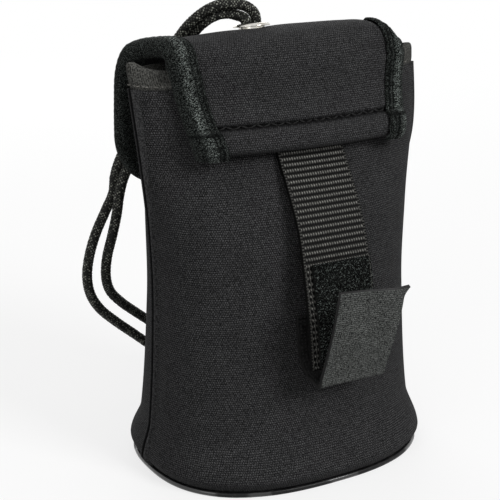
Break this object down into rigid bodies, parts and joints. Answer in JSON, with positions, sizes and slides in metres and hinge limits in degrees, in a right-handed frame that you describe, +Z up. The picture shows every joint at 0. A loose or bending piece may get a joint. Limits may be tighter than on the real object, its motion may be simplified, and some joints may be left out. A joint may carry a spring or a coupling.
{
  "type": "neoprene camera case",
  "caption": "Soft sewn camera pouch with a fold-over flap, belt strap held by a hook tab, non-slip sole and a doubled neck cord.",
  "frame": {"origin": "middle of the sole's flat underside", "axes": "+Z up to the flap's ridge, -Y out of the back with the belt strap, +Y out of the front that the flap closes over"},
  "size_m": [0.1148, 0.1519, 0.1594],
  "materials": {
    "neoprene": "matt black knit bonded to neoprene foam",
    "binding": "fuzzy black stretch knit binding",
    "grey_knit": "dark grey elastic knit",
    "webbing": "ribbed black and grey nylon webbing",
    "loop_tape": "black brushed loop tape",
    "hook_tape": "dark grey woven back with moulded hooks",
    "sole_rubber": "glossy black non-slip moulding",
    "nickel": "bright nickel plated brass",
    "cord": "black braided cord"
  },
  "bodies": {
    "pouch": {"back_panel": "neoprene", "front_panel": "neoprene", "left_side_seam": "neoprene", "right_side_seam": "neoprene", "mouth_band": "grey_knit", "sole": "sole_rubber", "base_pad": "neoprene", "base_binding": "binding", "closure_loop_patch": "loop_tape", "flap_root": "neoprene", "left_root_binding": "binding", "right_root_binding": "binding", "strap_anchor": "webbing", "tab_anchor": "hook_tape", "cord_fall_outer": "cord", "cord_fall_inner": "cord", "cord_coil": "cord", "cord_tie": "binding"},
    "flap": {"flap_lid": "neoprene", "lid_binding": "binding", "closure_hook_patch": "hook_tape", "eyelet": "nickel", "eyelet_washer": "nickel", "cord_knot": "cord", "cord_arch_outer": "cord", "cord_arch_inner": "cord"},
    "belt_strap": {"strap": "webbing", "strap_loop_patch": "loop_tape"},
    "tab_turn": {"tab_fold": "hook_tape"},
    "tab": {"tab_leaf": "hook_tape"}
  },
  "joints": [
    {"name": "flap_hinge", "type": "hinge", "parent": "pouch", "child": "flap", "pos_m": [0, -0.0165, 0.14], "axis": [1, 0, 0], "range_deg": [0, 150]},
    {"name": "strap_swing", "type": "hinge", "parent": "pouch", "child": "belt_strap", "pos_m": [0, -0.0168, 0.1114], "axis": [-1, 0, 0], "range_deg": [0, 40]},
    {"name": "tab_drop", "type": "hinge", "parent": "pouch", "child": "tab_turn", "pos_m": [0, -0.0446, 0.0376], "axis": [1, 0, 0], "range_deg": [0, 128]},
    {"name": "tab_peel", "type": "hinge", "parent": "tab_turn", "child": "tab", "pos_m": [0, -0.0446, 0.0376], "axis": [1, 0, 0], "range_deg": [-18, 20]}
  ],
  "couplings": [
    {"joint": "tab_drop", "follows": "strap_swing", "ratio": 3.2}
  ]
}
